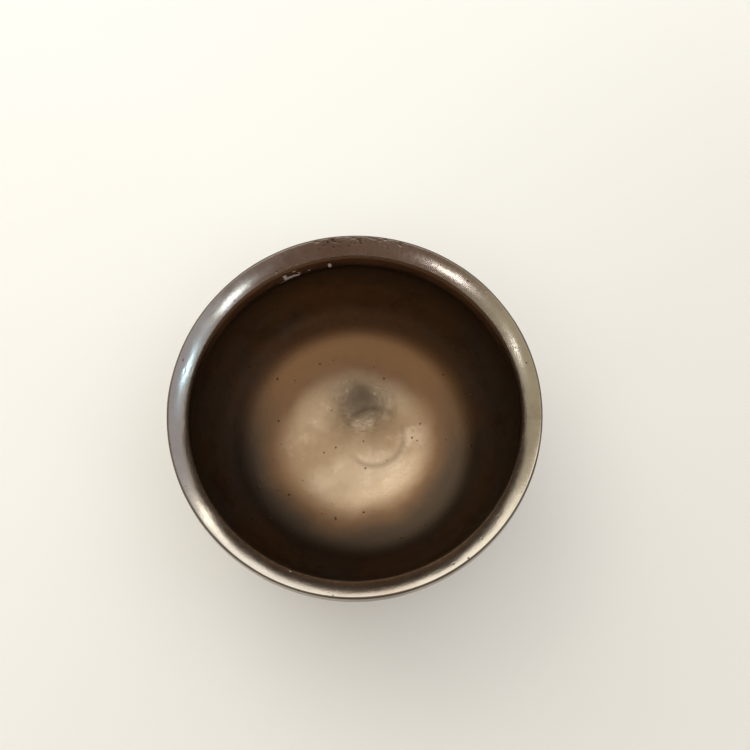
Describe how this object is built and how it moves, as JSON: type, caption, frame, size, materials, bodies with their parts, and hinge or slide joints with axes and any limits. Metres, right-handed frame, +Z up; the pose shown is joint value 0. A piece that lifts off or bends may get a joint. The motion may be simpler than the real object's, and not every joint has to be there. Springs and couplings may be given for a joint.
{
  "type": "singing bowl",
  "caption": "Small singing bowl turned from bell metal, with a thick lip that slopes inwards, a curved side and a flat base; it rings when its lip is struck or rubbed.",
  "frame": {"origin": "centre of the flat base, on the surface that the bowl stands on", "axes": "+Z up along the bowl's axis, out of its mouth; X and Y are free, because the bowl is turned"},
  "size_m": [0.1012, 0.1012, 0.0526],
  "materials": {
    "bell_metal": "worn, dark-patinated high-tin bronze, polished along the lip"
  },
  "bodies": {
    "root": {"bowl": "bell_metal"}
  },
  "joints": []
}
